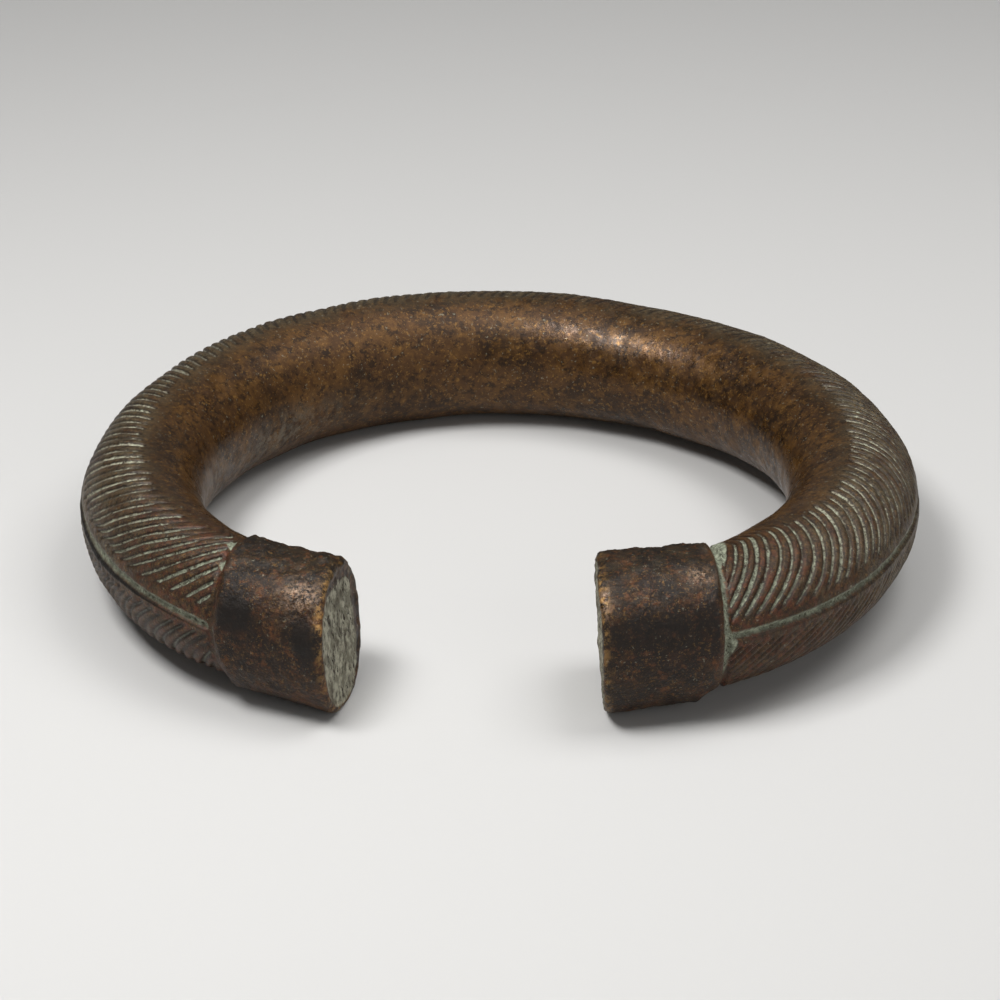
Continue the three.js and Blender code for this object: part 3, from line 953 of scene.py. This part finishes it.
lines_in, lower_in, groove_in = (read_mark(name) for name in ("lines", "low lines", "groove"))
foot_in, neck_in, bloom_in = (read_mark(name) for name in ("groove foot", "neck", "bloom"))
inner_in, collar_in, top_in = (read_mark(name) for name in ("inner", "collar", "collar top"))
face_in, rim_in, end_in = (read_mark(name) for name in ("face", "rim", "near_end"))
reach_in, painted_collar_shade_in, polish_and_painted_highlight_in, dull_in = (read_mark(name) for name in ("reach", "painted_collar_shade", "polish_and_painted_highlight", "dull"))
outer_in = away_from(inner_in)
bar_in = times(outer_in, away_from(collar_in))
far_in = away_from(times(end_in, 0.75))
print("marks read by the material:", sum(node.type == "ATTRIBUTE" for node in nodes))

# %% [markdown]
# The skin is laid in thin layers. Broad patches of brown come first, then finer and finer spots, and each
# part of the bracelet gets its own: ochre on the rubbed inner side, olive brown along the engraved bar,
# red-brown on the ridges near both ends, near-black and orange-brown blotches on the collars and a dull
# olive on their tops.

# %% Brown skin
black_brown = srgb(20, 14, 10)
deep_brown = srgb(38, 25, 14)
brown = srgb(72, 48, 25)
warm_brown = srgb(104, 72, 33)
red_brown = srgb(92, 48, 30)
orange_brown = srgb(112, 66, 32)
olive_brown = srgb(90, 79, 58)
dull_olive = srgb(47, 41, 29)
ochre = srgb(136, 100, 48)
painted_highlight = srgb(150, 122, 98)
pale_speck = srgb(150, 146, 126)

colour = coat(brown, deep_brown, times(spots(9, 0.44, 0.6, 0, 3, 0.55), 0.7))
colour = coat(colour, warm_brown, times(inner_in, spots(3.5, 0.46, 0.64, 37, 6, 0.65), 0.6))
colour = coat(colour, warm_brown, times(inner_in, spots(0.8, 0.5, 0.64, 3, 6, 0.7), 0.6))
colour = coat(colour, deep_brown, times(spots(1.1, 0.5, 0.6, 21), 0.85))
colour = coat(colour, ochre, times(inner_in, spots(0.45, 0.56, 0.64, 23, 5, 0.7), 0.6))
colour = coat(colour, olive_brown, times(bar_in, far_in, spots(3, 0.34, 0.58, 9, 6, 0.7)))
colour = coat(colour, red_brown, times(bar_in, end_in, spots(1.2, 0.46, 0.58, 5, 6, 0.7), 0.75))
colour = coat(colour, deep_brown, times(bar_in, spots(0.6, 0.47, 0.57, 38, 6, 0.8), 0.75))
colour = coat(colour, ochre, times(outer_in, spots(0.5, 0.6, 0.68, 31, 5), 0.6))
print("nodes for the skin of the bar:", len(nodes))

# %% Blotches of the collars, painted shade and painted highlights
colour = coat(colour, deep_brown, times(collar_in, 0.6))
colour = coat(colour, orange_brown, times(collar_in, spots(3.4, 0.5, 0.6, 26, 6, 0.7), 0.45))
colour = coat(colour, dull_olive, times(top_in, spots(1.3, 0.34, 0.56, 43, 6, 0.7), 0.85))
colour = coat(colour, black_brown, times(collar_in, spots(2.8, 0.42, 0.56, 25), 0.8))
colour = coat(colour, orange_brown, times(collar_in, spots(1, 0.54, 0.64, 27), 0.5))
colour = coat(colour, ochre, times(collar_in, spots(0.6, 0.6, 0.68, 39, 5, 0.7), 0.5))
colour = coat(colour, pale_speck, times(spots(0.5, 0.63, 0.69, 29, 4, 0.65), 0.5))
colour = coat(colour, black_brown, times(outer_in, spots(0.4, 0.53, 0.59, 41, 5), 0.65))
colour = coat(colour, ochre, times(outer_in, spots(0.35, 0.57, 0.62, 42, 5), 0.4))
# Painted shade: the near-black band across the front of the collars at mid-height.
colour = coat(colour, black_brown, times(ragged(painted_collar_shade_in, 2, 1.2, 0.15, 0.7, 40), 0.93))
# Painted highlight: pale rosy sparks on the polished spots of the collars.
colour = coat(colour, painted_highlight, times(polish_and_painted_highlight_in, spots(0.7, 0.46, 0.58, 44), 0.85))
print("nodes with the blotches of the collars:", len(nodes))

# %% [markdown]
# Painted shade darkens every cut first, and the lower edge of the middle groove is darkened too. Chalky
# corrosion lies over it, wide and green in the cuts near both ends, thin, pale and broken further off, and
# thickest in the middle groove and the neck grooves.

# %% Grey bloom, painted shade in the cuts and chalky corrosion
grey_bloom = srgb(112, 102, 86)
verdigris = srgb(108, 112, 95)
pale_verdigris = srgb(160, 165, 143)
tan = srgb(160, 153, 132)

colour = coat(colour, grey_bloom, times(bloom_in, spots(1.6, 0.42, 0.6, 7), 0.75))
# Painted shade: every cut is darkened where shade falls in it, and the lower edge of the middle groove is
# darkened as well.
painted_cut_shade_and_dark_groove_foot = most(times(window(lines_in, 0.06, 0.35), 0.55), times(window(lower_in, 0.1, 0.7), 0.7))
painted_cut_shade_and_dark_groove_foot = most(painted_cut_shade_and_dark_groove_foot, ragged(foot_in, 1.2, 0.5, 0.25, 0.7, 14))
colour = coat(colour, black_brown, painted_cut_shade_and_dark_groove_foot)
wide_cut = times(ragged(lines_in, 0.5, 1.1, 0.5, 0.82, 15), end_in)
fine_cut = times(ragged(lines_in, 0.6, 1.4, 0.5, 0.85, 16), reach_in)
low_cut = times(ragged(lower_in, 0.9, 1.0, 0.6, 1.0, 17), 0.5, end_in)
in_line = times(most(wide_cut, fine_cut, low_cut), spots(0.6, 0.38, 0.52, 11))
colour = coat(colour, coat(tan, verdigris, end_in), in_line)
in_hollow = most(ragged(groove_in, 1.3, 1.1, 0.3, 0.85, 12), ragged(neck_in, 0.8, 1.5, 0.35, 0.85, 18))
in_hollow = times(in_hollow, sums("ADD", 0.72, times(end_in, 0.25)))
colour = coat(colour, verdigris, in_hollow)
crust = most(in_line, in_hollow)
colour = coat(colour, pale_verdigris, times(crust, spots(0.8, 0.46, 0.58, 13), 0.8))
colour = coat(colour, deep_brown, times(crust, spots(0.45, 0.54, 0.6, 19, 5), 0.85))
print("nodes with the corrosion:", len(nodes))

# %% End faces and worn rims
grey_chalk = srgb(112, 108, 92)
pale_chalk = srgb(164, 161, 142)
chalk_pit = srgb(42, 33, 24)
chalk_shade = srgb(74, 66, 52)
gold = srgb(190, 146, 84)

on_end = ragged(face_in, 1.3, 1.3, 0.22, 0.4, 20)
chalk_face = coat(grey_chalk, pale_chalk, spots(1, 0.42, 0.6, 2, 6, 0.7, 0.6))
chalk_face = coat(chalk_face, chalk_pit, spots(0.45, 0.52, 0.62, 4, 5, 0.7, 0.3))
chalk_face = coat(chalk_face, chalk_shade, times(spots(3.4, 0.52, 0.64, 35, 5, 0.6), 0.7))
colour = coat(colour, chalk_face, on_end)
colour = coat(colour, gold, times(rim_in, spots(0.9, 0.46, 0.62, 6), 0.8))
links.new(colour, shader.inputs["Base Color"])
print("nodes with the end faces and the rims:", len(nodes))

# %% [markdown]
# Chalky corrosion is matt and doesn't shine like metal. The rubbed skin has a soft gloss that changes from
# place to place, is dull over the left part of the back and brightest where the collars are rubbed. Pits
# too small for the mesh go on as bump, and on the collars they break the shine into sparks.

# %% Gloss and fine pits
chalk = most(crust, on_end)
dry = most(chalk, times(bar_in, 0.3), times(bloom_in, 0.4))
gloss = blend(0.24, 0.46, spots(1.6, 0.36, 0.64, 8, 6, 0.65))
gloss = blend(gloss, 0.6, times(dull_in, 0.85))
gloss = blend(gloss, blend(0.5, 0.16, polish_and_painted_highlight_in), collar_in)
links.new(blend(gloss, 0.85, dry), shader.inputs["Roughness"])
links.new(blend(blend(0.3, 0.45, inner_in), 0.0, chalk), shader.inputs["Metallic"])
shader.inputs["Specular IOR Level"].default_value = 0.4
bump = nodes.new("ShaderNodeBump")
bump.inputs["Strength"].default_value = 0.7
bump.inputs["Distance"].default_value = 0.4 * MM
fine_pits = times(noise(0.35, 4, 0.6, 1), 0.45)
wide_pits = times(noise(0.8, 5, 0.65, 12), 0.55)
skin_pits = sums("ADD", fine_pits, wide_pits)
skin_pits = times(skin_pits, blend(0.6, 0.18, inner_in), blend(1.0, 1.66, collar_in))
face_pits = noise(0.5, 5, 0.7, 4, 0.35)
links.new(blend(skin_pits, away_from(face_pits), on_end), bump.inputs["Height"])
links.new(bump.outputs["Normal"], shader.inputs["Normal"])
casting.data.materials.clear()
casting.data.materials.append(patina)
print("material:", casting.data.materials[0].name)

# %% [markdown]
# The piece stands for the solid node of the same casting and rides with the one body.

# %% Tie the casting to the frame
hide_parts("bracelet")
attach(casting, "root")
casting.data.calc_loop_triangles()
print("triangles in the casting:", len(casting.data.loop_triangles))

# %% [markdown]
# ## Floor, light and camera
# The photograph was taken from 28 degrees above, on a pale ground under soft light. The key light stands on
# the left and slightly in front, a weaker fill on the right, a wide light overhead, and a weak one low in
# front on the right. Large area lights give the soft sheen on the inner side and the faint shadows under
# the ends.

# %% Floor
bpy.ops.object.select_all(action="DESELECT")
bpy.ops.mesh.primitive_plane_add(size=6, location=(0, 0, 0))
floor = bpy.context.object
floor.name = "floor"
paper = bpy.data.materials.new("pale_paper")
paper.use_nodes = True
paper.node_tree.nodes["Principled BSDF"].inputs["Base Color"].default_value = srgb(201, 200, 198)
paper.node_tree.nodes["Principled BSDF"].inputs["Roughness"].default_value = 0.9
floor.data.materials.append(paper)
print("floor:", floor.name)

# %% Lights
def soft_light(name, place, aim, size, power):
    bpy.ops.object.light_add(type="AREA", location=place)
    light = bpy.context.object
    light.name = name
    light.data.shape = "RECTANGLE"
    light.data.size, light.data.size_y = size
    light.data.energy = power
    light.rotation_euler = (Vector(aim) - Vector(place)).to_track_quat("-Z", "Y").to_euler()
    print(name, "at", place, "with", power, "W")


soft_light("key on the left", (-0.13, -0.09, 0.31), (0, 0, 0), (0.15, 0.1), 0.95)
soft_light("fill on the right", (0.16, 0.0, 0.34), (0, 0, 0), (0.2, 0.2), 0.55)
soft_light("overhead", (0.0, 0.05, 0.6), (0, 0, 0), (0.5, 0.4), 0.7)
soft_light("low fill", (0.3, -0.4, 0.22), (0.03, 0, 0), (0.3, 0.3), 0.35)
world = bpy.data.worlds.new("studio")
world.use_nodes = True
world.node_tree.nodes["Background"].inputs["Color"].default_value = (0.5, 0.5, 0.5, 1)
world.node_tree.nodes["Background"].inputs["Strength"].default_value = 0.3
bpy.context.scene.world = world
bpy.context.scene.view_settings.view_transform = "Standard"

# %% Camera
right = Vector((0.99999, 0.00005, 0.00547))
upward = Vector((-0.00483, 0.47772, 0.8785))
forward = Vector((0.00257, 0.87851, -0.47772))
bpy.ops.object.camera_add(location=(-0.97 * MM, -296.137 * MM, 166.956 * MM))
camera = bpy.context.object
camera.rotation_euler = Matrix((right, upward, -forward)).transposed().to_euler()
camera.data.sensor_width = 36
camera.data.lens = 97.63
camera.data.clip_start = 0.01
bpy.context.scene.camera = camera
print("camera looks down by", round(math.degrees(math.asin(-forward.z)), 1), "degrees")
